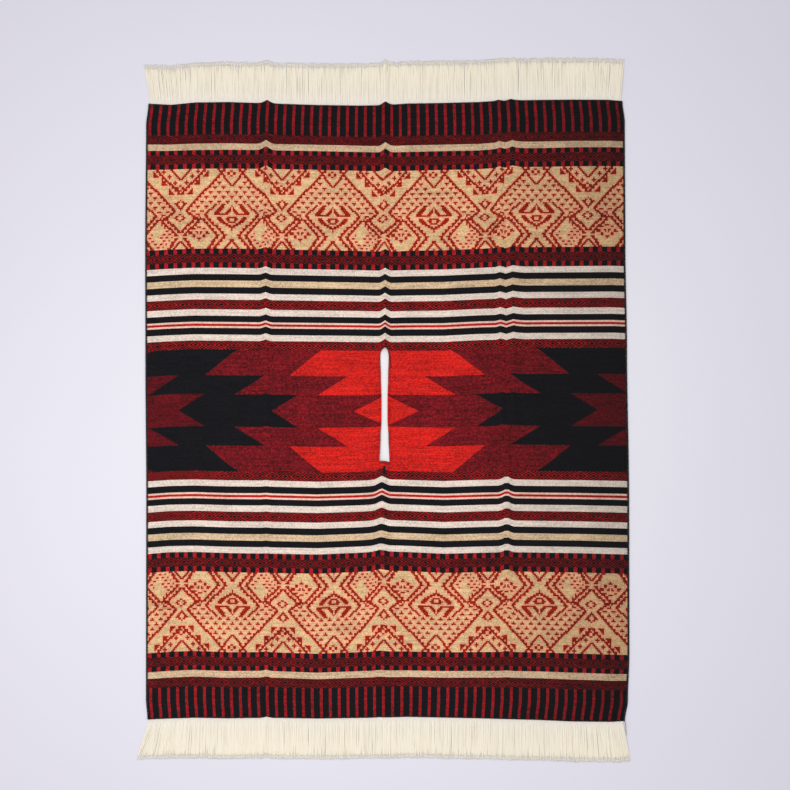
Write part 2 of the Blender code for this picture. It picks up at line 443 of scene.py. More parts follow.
def graded(start, end, cloth, places, reach):
    """Ticks from start to end: the cloth's fine step within reach of the places, and up to its coarse
    step away from them."""
    ticks = [start]
    while ticks[-1] < end:
        nearest = min(abs(ticks[-1] - place) for place in places)
        calm = min(1, max(0, nearest / reach - 1))
        ticks.append(ticks[-1] + cloth.fine + (cloth.coarse - cloth.fine) * calm)
    stretch = (end - start) / (ticks[-1] - start)
    return [start + (tick - start) * stretch for tick in ticks]


# ------------
# The pattern, from the middle of the cloth outwards: it is the same towards both ends.

PATTERN_MIDDLE = -0.0027
SLIT_LINE = 0.0040  # the pattern's own middle line, across the cloth
Band = namedtuple("Band", "width kind")
BANDS = (
    Band(0.1620, "stepped"),
    Band(0.0235, "diamonds"),
    Band(0.0162, "white"),
    Band(0.0178, "black"),
    Band(0.0160, "line"),
    Band(0.0165, "black"),
    Band(0.0171, "white"),
    Band(0.0258, "diamonds"),
    Band(0.0161, "white"),
    Band(0.0175, "black"),
    Band(0.0175, "gold"),
    Band(0.0170, "black"),
    Band(0.0165, "white"),
    Band(0.0145, "squares"),
    Band(0.0235, "diamonds"),
    Band(0.0136, "squares"),
    Band(0.2145, "figures"),
    Band(0.0139, "squares"),
    Band(0.0240, "diamonds"),
    Band(0.0130, "squares"),
    Band(0.0180, "cream"),
    Band(0.0260, "diamonds"),
    Band(0.0870, "stripes"),
)

# The stepped middle band: three rows of teeth, from the middle outwards. Their sloping edges start at
# these distances from the slit line, at each row's outer side, and lean outwards by the slope.
Teeth = namedtuple("Teeth", "height slope red_slope red maroon black")
TEETH = (
    Teeth(0.0442, 0.0721, 0.0919, -0.0055, 0.2339, 0.4832),
    Teeth(0.0496, 0.0800, 0.0800, 0.1014, 0.3231, 0.5538),
    Teeth(0.0684, 0.0843, 0.0843, 0.1744, 0.3985, 0.6292),
)
STEP = 0.0024  # height of one step of a sloping edge

# One repeat of the figured band, drafted on cells of the weave
REPEAT = 0.2743
REPEAT_START = -0.0027
WARPS = 72
PICKS = 50
WORD = 24  # how many cells of a row one number holds

CROSS = (".#.", "###", ".#.")
TEE = ("###", ".#.")
TOP_KNOT = (".#.", "#.#", ".#.")
DASH = ("###",)
SPECK = ("#",)
TOOTH = ("...#", "..##", ".###", "####")
FOUR_DOTS = (
    "..##..",
    "##..##",
    "##..##",
    "..##..",
)
RING = (
    "....#....",
    "..##.##..",
    "###...###",
    ".##...##.",
    "..##.##..",
    "...###...",
    "....#....",
)
SMALL_RING = (
    "...##...",
    ".##..##.",
    "##....##",
    ".##..##.",
    "...##...",
)
LOTUS = (
    ".....###.........###.....",
    "....###.....#.....###....",
    "...####....#.#....####...",
    "..####....##.##....####..",
    ".####....###.###....####.",
    "####....###...###....####",
    "##########.....##########",
    ".........................",
    "..###....#######....###..",
    "..####..###...###..####..",
    "...####..##...##..####...",
    "....####..#####..####....",
    "......####.....####......",
    "........####.####........",
    "..........#####..........",
    "............#............",
    "............#............",
)
ROSETTE = (
    "......###......",
    "...##.....##...",
    "...............",
    ".##..##.##..##.",
    "###...#.#...###",
    "...##.....##...",
    "...##.....##...",
    "......###......",
    ".......#.......",
)

# The small motifs, each with the places of its middle column (a warp) and its first row (a pick). The
# paired ones have a mirror image about the repeat's first warp.
MOTIFS = (
    (FOUR_DOTS, 0, 10),
    (FOUR_DOTS, 36, 1),
    (RING, 0, 19),
    (SMALL_RING, 0, 28),
    (LOTUS, 36, 22),
    (ROSETTE, 13, 36),
    (SPECK, 36, 49),
)
PAIRED_MOTIFS = (
    *((CROSS, warp, pick) for warp, pick in ((12, 0), (8, 3), (4, 7))),
    *((TOOTH, warp, pick) for warp, pick in ((18, 1), (12, 6), (7, 12))),
    *((DASH, warp, pick) for warp, pick in ((15, 26), (12, 28), (9, 26))),
    (TOP_KNOT, 13, 29),
)

# The sloping lines, from one cell to another, with a mirror image each.
Line = namedtuple("Line", "warp pick to_warp to_pick ragged")
LINES = (
    # two nested chevrons at the band's outer edge
    Line(16, 0, 0, 15, 1),
    Line(6, 0, 0, 6, 0),
    # the large diamond round the lotus, the chevron that crosses it, and the peak under the lotus
    Line(30, 0, 4, 25, 1),
    Line(4, 26, 10, 31, 1),
    Line(26, 0, 35, 10, 0),
    Line(36, 44, 30, 50, 0),
    # the double-edged diamonds at each side of the lotus
    Line(24, 22, 17, 28, 0),
    Line(17, 29, 30, 41, 1),
    Line(30, 42, 22, 50, 1),
    Line(15, 31, 25, 41, 1),
    Line(25, 42, 18, 50, 1),
    Line(10, 30, 0, 39, 1),
    Line(13, 31, 2, 41, 1),
    Line(2, 43, 8, 50, 1),
    Line(0, 45, 4, 49, 0),
)


def mark(draft, warp, pick):
    """Marks one cell. The draft repeats across, and has no rows past its own."""
    if 0 <= pick < PICKS:
        draft[pick, warp % WARPS] = 1


def mark_both(draft, warp, pick):
    """Marks a cell and its mirror image about the repeat's first warp."""
    mark(draft, warp, pick)
    mark(draft, -warp, pick)


def draw_line(draft, line):
    """A sloping line and its mirror image, two cells wide. Every other row of a ragged one is wider."""
    run, fall = line.to_warp - line.warp, line.to_pick - line.pick
    steps = max(abs(run), abs(fall))
    for step in range(steps + 1):
        warp, pick = round(line.warp + run * step / steps), round(line.pick + fall * step / steps)
        for more in range(2 + line.ragged * (pick % 2)):
            mark_both(draft, warp + more, pick)


def stamp(draft, motif, warp, pick, put=mark):
    """A small motif, with its middle column at this warp and its first row at this pick."""
    for down, cells in enumerate(motif):
        for across, cell in enumerate(cells):
            if cell == "#":
                put(draft, warp + across - len(cells) // 2, pick + down)


def draft_tees(draft):
    """Rows of small tees over the lotus, each row half a step off the last."""
    for row, (first, last) in enumerate(((9, 9), (6, 12), (3, 15), (0, 18), (3, 21), (18, 24))):
        for away in range(first, last + 1, 6):
            stamp(draft, TEE, WARPS // 2 - away, 8 + 3 * row, mark_both)


def draft_dotted_diamond(draft):
    """Specks that fill one side diamond along three of its sides, and leave its middle bare."""
    middle, widest, reach = 58, 41, 10
    bare_top, bare_widest, bare_left = 33, 39, 52
    for pick in range(widest - reach + 1, PICKS):
        below = pick >= bare_widest
        left = bare_left + 0.6 * (pick - bare_widest)
        right = middle if below else middle + 0.76 * (pick - bare_top)
        for warp in range(middle - reach, middle + reach + 1):
            inside = abs(warp - middle) + abs(pick - widest) < reach
            at_side = (below and warp < left) or warp >= right
            if inside and at_side and pick % 2 == 0 and (warp + pick) % 4 < 2:
                mark(draft, warp, pick)


def figure_draft():
    """One repeat of the figured band, with 1 for red. Row 0 is at the band's outer edge."""
    draft = np.zeros((PICKS, WARPS), int)
    for line in LINES:
        draw_line(draft, line)
    for motif, warp, pick in MOTIFS:
        stamp(draft, motif, warp, pick)
    for motif, warp, pick in PAIRED_MOTIFS:
        stamp(draft, motif, warp, pick, mark_both)
    draft_tees(draft)
    draft_dotted_diamond(draft)
    return draft


# ------------
# Shader nodes


def arithmetic(operation, swapped=False):
    """A method of a term that adds a math node. swapped puts the term itself last."""

    def method(self, *others):
        return math_node(operation, *((*others, self) if swapped else (self, *others)))

    return method


class Term:
    """A value that changes over a surface. Arithmetic on terms adds math nodes to their shader tree."""

    def __init__(self, socket):
        self.socket = socket
        self.tree = socket.id_data

    __add__ = __radd__ = arithmetic("ADD")
    __sub__ = arithmetic("SUBTRACT")
    __rsub__ = arithmetic("SUBTRACT", swapped=True)
    __mul__ = __rmul__ = arithmetic("MULTIPLY")
    __truediv__ = arithmetic("DIVIDE")
    __mod__ = arithmetic("FLOORED_MODULO")
    __abs__ = arithmetic("ABSOLUTE")
    __gt__ = arithmetic("GREATER_THAN")
    __lt__ = arithmetic("LESS_THAN")
    whole = arithmetic("FLOOR")
    beyond = arithmetic("MAXIMUM")
    within = arithmetic("MINIMUM")


def feed(socket, value):
    """Links a term to a socket, or sets the socket to a plain value."""
    if isinstance(value, Term):
        value.tree.links.new(value.socket, socket)
    elif isinstance(value, (int, float)):
        many = hasattr(socket.default_value, "__len__")
        socket.default_value = (value,) * len(socket.default_value) if many else value
    else:
        socket.default_value = (*value, 1)[: len(socket.default_value)]


def add_node(tree, kind, settings=(), **values):
    """A new node of the tree. settings are its own, and values go to its sockets by name."""
    node = tree.nodes.new(kind)
    for name, value in dict(settings).items():
        setattr(node, name, value)
    for name, value in values.items():
        feed(node.inputs[name.replace("_", " ").title()], value)
    return node


def node_term(tree, kind, socket=0, settings=(), **values):
    """One output of a new node."""
    return Term(add_node(tree, kind, settings, **values).outputs[socket])


def math_node(operation, *values):
    tree = next(value.tree for value in values if isinstance(value, Term))
    node = add_node(tree, "ShaderNodeMath", {"operation": operation})
    for socket, value in zip(node.inputs, values):
        feed(socket, value)
    return Term(node.outputs[0])


def paint(mask, below, above):
    """The colour above where the mask is 1, and the colour below where it is 0."""
    node = add_node(mask.tree, "ShaderNodeMix", {"data_type": "RGBA"})
    factor, first, second = (node.inputs[i] for i in (0, 6, 7))
    feed(factor, mask)
    feed(first, below)
    feed(second, above)
    return Term(node.outputs[2])


def vector_math(tree, operation, *values):
    node = add_node(tree, "ShaderNodeVectorMath", {"operation": operation})
    for socket, value in zip(node.inputs, values):
        feed(socket, value)
    return Term(node.outputs[0])


def tinted(colour_term, amount):
    """A colour made lighter or darker by a factor."""
    return vector_math(colour_term.tree, "MULTIPLY", colour_term, amount)


def vector(tree, x, y, z=0.0):
    return node_term(tree, "ShaderNodeCombineXYZ", X=x, Y=y, Z=z)


def group(name, inputs, outputs):
    """A new shader node group with named sockets, as (the terms of its inputs, its output sockets)."""
    tree = bpy.data.node_groups.new(name, "ShaderNodeTree")
    for way, sockets in (("INPUT", inputs), ("OUTPUT", outputs)):
        for socket, kind in sockets.items():
            tree.interface.new_socket(name=socket, in_out=way, socket_type="NodeSocket" + kind)
    terms = {s.name: Term(s) for s in tree.nodes.new("NodeGroupInput").outputs if s.name}
    return terms, tree.nodes.new("NodeGroupOutput").inputs


def use(tree, name, **values):
    """The named group in a tree, with its input sockets set, as its output terms by name."""
    node = add_node(tree, "ShaderNodeGroup", {"node_tree": bpy.data.node_groups[name]}, **values)
    return {socket.name: Term(socket) for socket in node.outputs}


def charted(column, row, *drafts):
    """For each draft, 1 where it is marked at this column and row."""
    tree = column.tree
    words = range(0, drafts[0].shape[1], WORD)
    row_words = [(0.0, 0.0, 0.0)] * len(drafts)
    for index in range(len(drafts[0])):
        in_row = math_node("COMPARE", row, index, 0.5)
        for which, draft in enumerate(drafts):
            cells = [draft[index, word : word + WORD] for word in words]
            numbers = [float(sum(int(cell) << bit for bit, cell in enumerate(part))) for part in cells]
            row_words[which] = vector_math(tree, "MULTIPLY_ADD", in_row, numbers, row_words[which])
    word = (column / WORD).whole()
    place = math_node("POWER", 2.0, column - word * WORD)
    masks = []
    for found in row_words:
        split = add_node(tree, "ShaderNodeSeparateXYZ", Vector=found)
        chosen = sum(Term(split.outputs[i]) * math_node("COMPARE", word, i, 0.5) for i in range(len(words)))
        masks.append((chosen / place).whole() % 2.0)
    return masks


# ------------
# Shader groups

PATTERN_COLOURS = (
    "Black", "Maroon", "Dark Maroon", "Red", "Dark Red", "Figure", "Rose", "Tan", "Gold", "Cream", "White"
)
SQUARE_PITCH = 0.02429
SQUARE_MIDDLE = -0.0066
STRIPE_MIDDLE = -0.0040
SQUARE_SHARE = 0.40
STRIPE_SHARE = 0.31
DIAMOND_PITCH = REPEAT / 4
DIAMOND_MIDDLE = -0.0313
DIAMOND_REACH = (0.0202, 0.0117)  # from a diamond's middle to its points, across and along
DIAMOND_STEP = 0.50  # from each nested outline to the next, as a share of the reach
DIAMOND_LINE = 0.15
DIAMOND_EYE = 0.33
DIAMOND_GROUND = (0.27, 0.28, 0.44)  # tint of the maroon between the outlines
DIAMOND_REDS = (0.70, 0.40)  # tints of the red outlines, near the middle of the cloth and far out
CROSS_REACH = (0.0022, 0.0095)  # how far a dark cross's upright reaches, across and along
CORNER_FROM = 0.0072  # the black corners lie past here, from the row's middle line,
CORNER_RING = 1.15  # and outside this ring round a diamond
FAR_OUT = 0.36  # the rows of diamonds past here are duller
RED_LINE = 0.0062
LINE_RED = 0.72
LINE_EDGE = (1.12, 0.85, 0.80)  # tint of the white beside the red line
SQUARE_RED = 1.3
MARL = (0.0050, 0.0036)  # size of the flecks in the maroon, across and along
MARL_TONE = (0.62, 0.76)  # their least tone, and how much more the brightest have
FLECK = (0.0032, 0.0026)  # size of the flecks in the cloth's tone
STREAK = 0.061  # how long a yarn keeps its own tone
CLOUD_SCALE = 11.0
YARN_SHARE = 0.55  # how much the yarns and the clouds differ in tone, beside the flecks
CLOUD_SHARE = 0.9
DARK_MOTTLE = 4.0  # how much more the dark colours are mottled
RIGHT_SHADE_FROM = 0.20  # painted shade darkens the cloth from here towards its right edge
RIGHT_SHADE_OVER = 0.43
RIGHT_SHADE = (0.27, 0.24)  # how much darker the painted shade makes it there, and how much more so in the dark colours
BACK_SHADE_FROM = 0.62  # and painted shade darkens it from here towards its back end
BACK_SHADE_OVER = 0.10
BACK_SHADE = 0.13


def stepped_band(colours, across, away):
    """Red, maroon and black, parted by rows of teeth whose sloping edges go in steps."""
    pick = ((away / STEP).whole() + 0.5) * STEP
    from_slit = abs(across - SLIT_LINE)
    in_second = pick > TEETH[0].height
    in_third = pick > TEETH[0].height + TEETH[1].height

    def here(first, second, third):
        return first + in_second * (second - first) + in_third * (third - second)

    height, slope, red_slope, red, maroon, black = (here(*column) for column in zip(*TEETH))
    top = TEETH[0].height + in_second * TEETH[1].height + in_third * TEETH[2].height
    lean = (top - pick) / height
    marl = random_here(across.tree, (across / MARL[0]).whole(), (away / MARL[1]).whole())
    marled = tinted(colours["Maroon"], MARL_TONE[0] + MARL_TONE[1] * marl)
    made = paint(from_slit > red + lean * red_slope, colours["Red"], marled)
    made = paint(from_slit > maroon + lean * slope, made, colours["Black"])
    return paint(from_slit > black + lean * slope, made, colours["Dark Maroon"])


def diamond_rows(colours, across, away, far):
    """A row of small nested diamonds with dark crosses between them, duller where far is 1."""
    turn = (across - DIAMOND_MIDDLE) / DIAMOND_PITCH
    from_eye = abs((turn + 0.5) % 1.0 - 0.5) * DIAMOND_PITCH
    from_cross = DIAMOND_PITCH / 2 - from_eye
    eye_ring = from_eye / DIAMOND_REACH[0] + away / DIAMOND_REACH[1]
    cross_ring = from_cross / DIAMOND_REACH[0] + away / DIAMOND_REACH[1]
    inside = eye_ring < 1.0
    ring = cross_ring + inside * (eye_ring - cross_ring)
    lines = ring % DIAMOND_STEP > DIAMOND_STEP - DIAMOND_LINE
    upright = (from_cross < CROSS_REACH[0]) * (away < CROSS_REACH[1])
    in_corner = (away > CORNER_FROM) * (eye_ring > CORNER_RING)
    dark = (ring < DIAMOND_EYE).beyond(upright).beyond(in_corner)
    ground = paint(dark, tinted(colours["Maroon"], DIAMOND_GROUND), colours["Black"])
    near_red, far_red = (tinted(colours["Red"], shade) for shade in DIAMOND_REDS)
    return paint(lines, ground, paint(far, near_red, far_red))


def bars(across, middle, part, ground, bar):
    """Upright bars, with one at middle. part is how much of the pitch they take."""
    turn = ((across - middle) / SQUARE_PITCH + 0.5) % 1.0
    return paint(abs(turn - 0.5) < part / 2, ground, bar)


def figured_band(colours, across, inward):
    """The drafted figures, red on tan. inward is the distance from the band's outer edge."""
    band = next(band for band in BANDS if band.kind == "figures")
    warp = ((across - REPEAT_START) / (REPEAT / WARPS) + 0.5).whole() % float(WARPS)
    pick = (inward / (band.width / PICKS)).whole()
    draft = figure_draft()
    beside = np.roll(draft, 1, axis=1) | np.roll(draft, -1, axis=1)
    beside[1:] |= draft[:-1]
    beside[:-1] |= draft[1:]
    figure, blush = charted(warp, pick, draft, beside)
    return paint(figure, paint(blush, colours["Tan"], colours["Rose"]), colours["Figure"])


def pattern_group():
    """The poncho's whole pattern, by the place on its cut."""
    inputs = {"Across": "Float", "Along": "Float", **{name: "Color" for name in PATTERN_COLOURS}}
    given, out = group("Poncho Pattern", inputs, {"Color": "Color"})
    colours = {name: given[name] for name in PATTERN_COLOURS}
    across = given["Across"]
    away = abs(given["Along"] - PATTERN_MIDDLE)

    edges = np.cumsum([0, *(band.width for band in BANDS)])
    middles = {}
    for band, start in zip(BANDS, edges):
        middles.setdefault(band.kind, []).append(start + band.width / 2)

    def from_middle(kind):
        """How far the nearest band of this kind has its middle line."""
        first, *others = (abs(away - float(middle)) for middle in middles[kind])
        for other in others:
            first = first.within(other)
        return first

    figure_band = [band.kind for band in BANDS].index("figures")
    figured = figured_band(colours, across, float(edges[figure_band + 1]) - away)
    in_line = from_middle("line") < RED_LINE / 2
    square_red = tinted(colours["Dark Red"], SQUARE_RED)
    painted = {
        "stepped": stepped_band(colours, across, away),
        "diamonds": diamond_rows(colours, across, from_middle("diamonds"), away > FAR_OUT),
        "squares": bars(across, SQUARE_MIDDLE, SQUARE_SHARE, colours["Black"], square_red),
        "stripes": bars(across, STRIPE_MIDDLE, STRIPE_SHARE, colours["Black"], colours["Dark Red"]),
        "figures": figured,
        "line": paint(in_line, tinted(colours["White"], LINE_EDGE), tinted(colours["Red"], LINE_RED)),
        **{name.lower(): colours[name] for name in ("Black", "Gold", "Cream", "White")},
    }
    made = painted[BANDS[0].kind]
    for band, start in list(zip(BANDS, edges))[1:]:
        made = paint(away > float(start), made, painted[band.kind])
    feed(out["Color"], made)


def weave_group():
    """Threads that pass over and under each other: how high the nearest one stands."""
    inputs = {name: "Float" for name in ("Across", "Along", "Warp Pitch", "Weft Pitch")}
    given, out = group("Weave", inputs, {"Height": "Float"})
    warp = given["Across"] / given["Warp Pitch"]
    weft = given["Along"] / given["Weft Pitch"]
    over = (warp.whole() + weft.whole()) % 2.0
    warp_round = math_node("SINE", warp % 1.0 * math.pi)
    weft_round = math_node("SINE", weft % 1.0 * math.pi)
    warp_on_top = warp_round * (0.6 + 0.4 * weft_round)
    weft_on_top = weft_round * (0.6 + 0.4 * warp_round)
    feed(out["Height"], over * warp_on_top + (1.0 - over) * weft_on_top)


def random_here(tree, x, y):
    return node_term(tree, "ShaderNodeTexWhiteNoise", "Value", Vector=vector(tree, x, y))


def cloudy(tree, x, y, scale):
    """Soft noise over a surface, about 0.5 on average."""
    return node_term(tree, "ShaderNodeTexNoise", Vector=vector(tree, x, y), Scale=scale)


def yarn_tone_and_shade_group():
    """The small differences in tone from yarn to yarn, more in the dark colours, and painted shade that
    darkens the cloth towards its right side and its back end."""
    inputs = {"Color": "Color", **{name: "Float" for name in ("Across", "Along", "Mottle")}}
    given, out = group("Yarn Tone", inputs, {"Color": "Color"})
    across, along = given["Across"], given["Along"]
    tree = across.tree
    split = add_node(tree, "ShaderNodeSeparateColor", Color=given["Color"])
    dark = 1.0 - (Term(split.outputs["Red"]) + Term(split.outputs["Green"])) / 2.0
    to_right = ((across - RIGHT_SHADE_FROM) / RIGHT_SHADE_OVER).beyond(0.0).within(1.0)
    at_back = ((along - BACK_SHADE_FROM) / BACK_SHADE_OVER).beyond(0.0).within(1.0)
    # painted shade: darker towards the right edge and towards the back end
    painted_shade = (1.0 - to_right * (RIGHT_SHADE[0] + RIGHT_SHADE[1] * dark)) * (1.0 - BACK_SHADE * at_back)
    fleck = random_here(tree, (across / FLECK[0]).whole(), (along / FLECK[1]).whole())
    yarn = random_here(tree, (across / STREAK).whole(), (along / FLECK[1]).whole())
    cloud = cloudy(tree, across, along, CLOUD_SCALE)
    tone = (fleck - 0.5) + YARN_SHARE * (yarn - 0.5) + CLOUD_SHARE * (cloud - 0.5)
    shade = painted_shade * (1.0 + given["Mottle"] * (1.0 + DARK_MOTTLE * dark) * 2.0 * tone)
    feed(out["Color"], tinted(given["Color"], shade))


def twist_group():
    """The plies of a twisted yarn, by the place round it and along it."""
    inputs = {name: "Float" for name in ("Around", "Along", "Twist")}
    given, out = group("Yarn Twist", inputs, {"Height": "Float"})
    turn = given["Around"] * 2.0 + given["Along"] / given["Twist"]
    feed(out["Height"], abs(math_node("SINE", turn * math.pi)))


def shader_groups():
    for name, build in (
        ("Poncho Pattern", pattern_group),
        ("Weave", weave_group),
        ("Yarn Tone", yarn_tone_and_shade_group),
        ("Yarn Twist", twist_group),
    ):
        if name not in bpy.data.node_groups:
            build()


# ------------
# Materials


SPECULAR = 0.16
THREAD_PLY = 0.0012  # length of one turn of a thread's plies, and of a yarn's
YARN_PLY = 0.0052
ROOT_LIGHT_FADE = 28.0  # how fast the painted light at the yarns' roots fades, along each metre
# tint of the painted light at the roots
ROOT_LIGHT_TINT = (0.98, 1.0, 1.10)
FLOOR_LIGHT_FADE = 1.8  # how fast the painted pool of light in the floor's middle fades, over each metre


def material(name, roughness, sheen):
    """A new matt material, as (material, its tree, its Principled shader)."""
    made = bpy.data.materials.new(name)
    made.use_nodes = True
    tree = made.node_tree
    shader = tree.nodes["Principled BSDF"]
    shader.inputs["Roughness"].default_value = roughness
    shader.inputs["Specular IOR Level"].default_value = SPECULAR
    shader.inputs["Sheen Weight"].default_value = sheen
    shader.inputs["Sheen Roughness"].default_value = 0.5
    return made, tree, shader


def mapped(tree, map_name):
    """The two places that a map gives."""
    uv = node_term(tree, "ShaderNodeUVMap", settings={"uv_map": map_name})
    split = add_node(tree, "ShaderNodeSeparateXYZ", Vector=uv)
    return Term(split.outputs[0]), Term(split.outputs[1])


def relief(tree, shader, height, distance, strength):
    """Bump from a height between 0 and 1, which stands for a distance in metres."""
    bump = node_term(tree, "ShaderNodeBump", Height=height, Distance=distance, Strength=strength)
    feed(shader.inputs["Normal"], bump)


def cloth_material(name, cloth, **swapped):
    """The woven cloth. swapped gives some of the pattern's colours another colour."""
    made, tree, shader = material(name, 0.75, 0.02)
    across, along = mapped(tree, "Loom")
    colours = {word.replace(" ", "_").lower(): word for word in PATTERN_COLOURS}
    shown = {key: getattr(cloth, swapped.get(key, key)) for key in colours}
    pattern = use(tree, "Poncho Pattern", across=across, along=along, **shown)
    toned = use(tree, "Yarn Tone", color=pattern["Color"], across=across, along=along, mottle=cloth.mottle)
    weave = use(
        tree, "Weave", across=across, along=along, warp_pitch=cloth.end_pitch, weft_pitch=cloth.pick_pitch
    )
    shade = 0.84 + 0.24 * weave["Height"]  # painted shade, darker between the threads
    feed(shader.inputs["Base Color"], tinted(toned["Color"], shade))
    feed(shader.inputs["Roughness"], 0.82 - 0.12 * weave["Height"])
    relief(tree, shader, weave["Height"], distance=0.0004, strength=0.6)
    return made


def thread_material(name, shade, sheen):
    """A twisted sewing thread of one colour."""
    made, tree, shader = material(name, 0.7, sheen)
    around, along = mapped(tree, "Thread")
    twist = use(tree, "Yarn Twist", around=around, along=along, twist=THREAD_PLY)
    tone = random_here(tree, around.whole(), 0.0)
    base = paint(tone, tuple(0.8 * c for c in shade), shade)
    # painted shade: the twist's grooves darken the thread's colour
    feed(shader.inputs["Base Color"], tinted(base, 0.75 + 0.3 * twist["Height"]))
    relief(tree, shader, twist["Height"], distance=0.0002, strength=0.7)
    return made


def fringe_material(fringe):
    """Soft loosely twisted yarn, with painted light that makes it whiter at its root than at its tip, and
    painted shade between its plies.
    """
    made, tree, shader = material("fringe_yarn", 0.9, 0.35)
    around, along = mapped(tree, "Thread")
    twist = use(tree, "Yarn Twist", around=around, along=along, twist=YARN_PLY)
    # painted light: the roots are whiter, where the packed yarns leave no shaded gaps
    painted_light = tuple(min(1.0, c * factor) for c, factor in zip(fringe.cream, ROOT_LIGHT_TINT))
    root_light = math_node("EXPONENT", along * -ROOT_LIGHT_FADE)
    base = paint(root_light, fringe.cream, painted_light)
    tone = random_here(tree, around.whole(), 0.0)
    mottle = cloudy(tree, around, along * 60.0, 1.0)
    # the yarns' own tone and mottle, with painted shade from the twist's grooves
    shade = 0.94 + 0.05 * tone + 0.05 * mottle + 0.04 * twist["Height"]
    feed(shader.inputs["Base Color"], tinted(base, shade))
    relief(tree, shader, twist["Height"] + 0.3 * mottle, distance=0.0006, strength=0.6)
    return made


def thread_materials(trim):
    """The black and the red sewing thread, made once."""
    shades = (("black_thread", trim.black), ("red_thread", trim.red))
    return [bpy.data.materials.get(name) or thread_material(name, shade, 0.1) for name, shade in shades]


def floor_material(stage):
    """A matt painted floor, a little uneven in tone, with a painted pool of light that makes its middle
    whiter.
    """
    made, tree, shader = material("studio_floor", 0.7, 0.0)
    place = node_term(tree, "ShaderNodeTexCoord", "Object")
    uneven = node_term(tree, "ShaderNodeTexNoise", Vector=place, Scale=1.6)
    from_middle = add_node(tree, "ShaderNodeVectorMath", {"operation": "LENGTH"})
    feed(from_middle.inputs[0], place)
    # painted pool of light: the floor is whiter near its middle
    painted_light = math_node("EXPONENT", Term(from_middle.outputs["Value"]) * -FLOOR_LIGHT_FADE)
    shade = paint(painted_light, stage.floor, (1.0, 1.0, 1.0))
    feed(shader.inputs["Base Color"], tinted(shade, 1.0 - 0.04 * uneven))
    feed(shader.inputs["Roughness"], 0.65 + 0.1 * uneven)
    return made


# ------------
# The cloth

SLIT_ZONE = 0.030  # on each side of the middle, where the mesh follows the slit's edges
ACROSS_SLIT = (-1.0, -0.7, -0.45, -0.2, 0.0, 0.2, 0.45, 0.7, 1.0)
BESIDE_SLIT = (0.12, 0.28, 0.46, 0.64, 0.82)
CREASE_REACH = 0.016
SLIT_REACH = 0.012
TOP_SHARE = 0.70  # how much of the cloth's bake map the upper side takes
UNDER_SHARE = 0.38  # how much of the rest's height the underside takes
MAP_GAP = 0.01
RIM_COLUMNS = 20


def cloth_rows(cloth):
    """Places along for the mesh's rows, with a row on each end of the slit."""
    stops = (-HALF_LENGTH, SLIT_FRONT, SLIT_BACK, HALF_LENGTH)
    slit_ends = (SLIT_FRONT, SLIT_BACK)
    spans = [graded(start, end, cloth, slit_ends, SLIT_REACH) for start, end in zip(stops, stops[1:])]
    return np.array([*spans[0], *spans[1][1:], *spans[2][1:]])


def cloth_grid(cloth):
    """The cloth's flat mesh, as (places across, places along, which cells are cloth)."""
    rows = cloth_rows(cloth)
    folds = [crease.across for crease in CREASES]
    left = graded(-HALF_WIDTH, -SLIT_ZONE, cloth, folds, CREASE_REACH)
    right = graded(SLIT_ZONE, HALF_WIDTH, cloth, folds, CREASE_REACH)
    edge = slit_half_width(rows)[:, None]
    beside = edge + (SLIT_ZONE - edge) * np.array(BESIDE_SLIT)
    across = np.hstack([
        np.tile(left, (len(rows), 1)),
        -beside[:, ::-1],
        edge * np.array(ACROSS_SLIT),
        beside,
        np.tile(right, (len(rows), 1)),
    ])
    along = np.repeat(rows[:, None], across.shape[1], axis=1)
    cells = np.ones((len(rows) - 1, across.shape[1] - 1), bool)
    first = len(left) + len(BESIDE_SLIT)
    in_slit = (rows[:-1] >= SLIT_FRONT) & (rows[:-1] < SLIT_BACK)
    cells[in_slit, first : first + len(ACROSS_SLIT) - 1] = False
    return across, along, cells


def rim_of(quads):
    """The directed edges that only one quad has."""
    sides = np.stack([quads, np.roll(quads, -1, axis=1)], -1).reshape(-1, 2)
    _, first, uses = np.unique(np.sort(sides, axis=1), axis=0, return_index=True, return_counts=True)
    return sides[first[uses == 1]]


def cloth_shape(cloth):
    """The cloth as a closed shell of upper side, underside and rims, with the count of its upper faces."""
    across, along, cells = cloth_grid(cloth)
    index = np.arange(across.size).reshape(across.shape)
    quads = np.stack([index[:-1, :-1], index[:-1, 1:], index[1:, 1:], index[1:, :-1]], -1)[cells]
    used, quads = np.unique(quads, return_inverse=True)
    quads = quads.reshape(-1, 4)
    flat = np.stack([across, along], -1).reshape(-1, 2)[used]
    under = lie(flat[:, 0], flat[:, 1])
    top = under + (0, 0, cloth.thick)
    count = len(flat)
    start, end = rim_of(quads).T
    rims = np.stack([start, start + count, end + count, end], -1)
    faces = np.concatenate([quads, quads[:, ::-1] + count, rims])

    spread = flat / (2 * HALF_WIDTH, 2 * HALF_LENGTH) + 0.5
    on_top = spread[quads] * (TOP_SHARE, 1)
    on_under = spread[quads[:, ::-1]] * (1 - TOP_SHARE - MAP_GAP, UNDER_SHARE) + (TOP_SHARE + MAP_GAP, 0)
    cell = np.arange(len(rims))
    rest = np.array([TOP_SHARE + MAP_GAP, UNDER_SHARE + MAP_GAP])
    size = (1 - rest) / (RIM_COLUMNS, math.ceil(len(rims) / RIM_COLUMNS))
    corner = np.stack([cell % RIM_COLUMNS, cell // RIM_COLUMNS], -1) * size + rest
    on_rim = corner[:, None] + np.array([(0.1, 0.9), (0.1, 0.1), (0.9, 0.1), (0.9, 0.9)]) * size
    bake = np.concatenate([on_top, on_under, on_rim]).reshape(-1, 2)
    loom = loomed(flat)[faces % count].reshape(-1, 2)
    return Shape(np.concatenate([top, under]), faces.tolist(), Loom=loom, OFBake=bake), len(quads)


